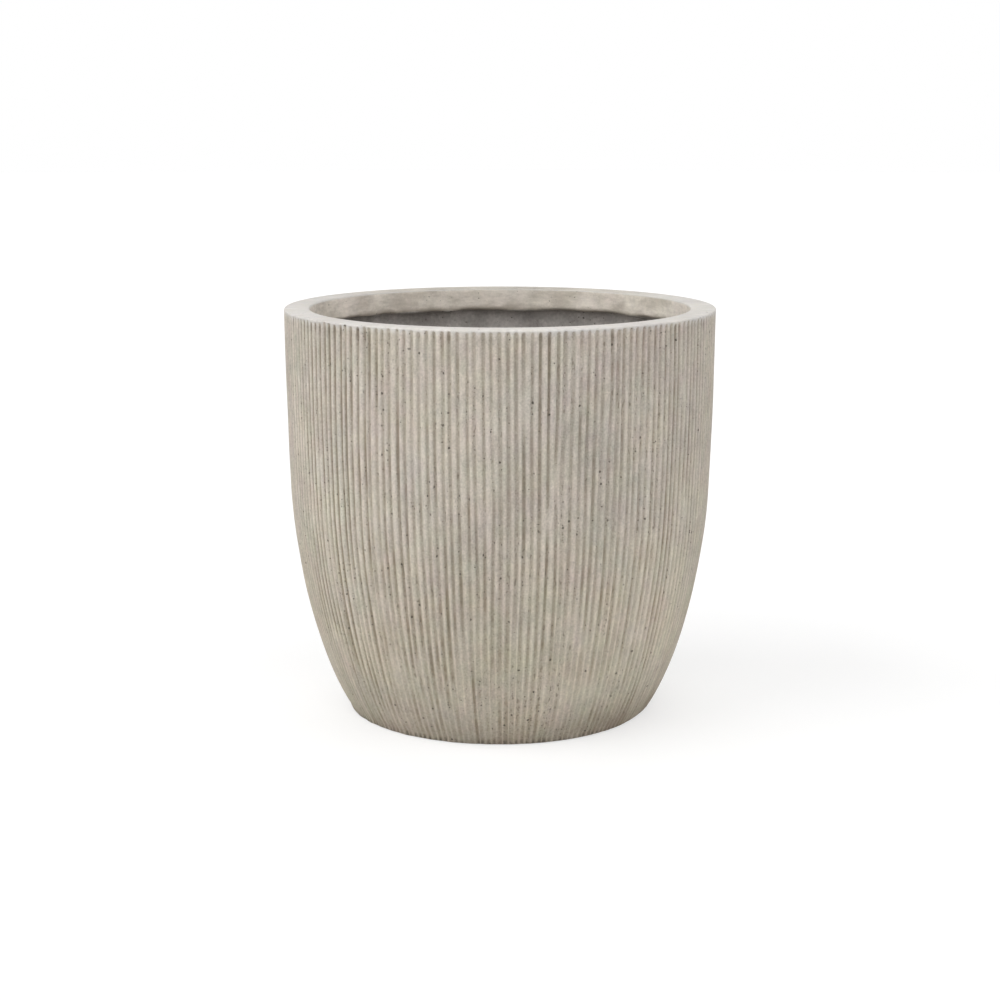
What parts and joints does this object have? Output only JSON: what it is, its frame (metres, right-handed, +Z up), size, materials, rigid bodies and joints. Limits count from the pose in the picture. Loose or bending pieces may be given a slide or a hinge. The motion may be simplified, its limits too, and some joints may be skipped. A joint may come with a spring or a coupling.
{
  "type": "planter",
  "caption": "Round planter with an upright fluted side, a thick flat rim turned in over a thinner wall, a rounded bowl down to a flat foot, and a rubber plug in the floor's drain hole.",
  "frame": {"origin": "centre of the foot, on the surface that the planter stands on", "axes": "+Z up along the planter's axis; +X and +Y level and interchangeable, because the planter is round"},
  "size_m": [0.4, 0.4, 0.38],
  "materials": {
    "shell": "matt cast concrete, pale warm grey, darker in the grooves and inside",
    "plug": "matt black moulded rubber"
  },
  "bodies": {
    "planter": {"planter_shell": "shell"},
    "plug": {"drain_plug": "plug"}
  },
  "joints": [
    {"name": "plug_lift", "type": "slide", "parent": "planter", "child": "plug", "axis": [0, 0, 1], "range_m": [0, 0.4]}
  ]
}
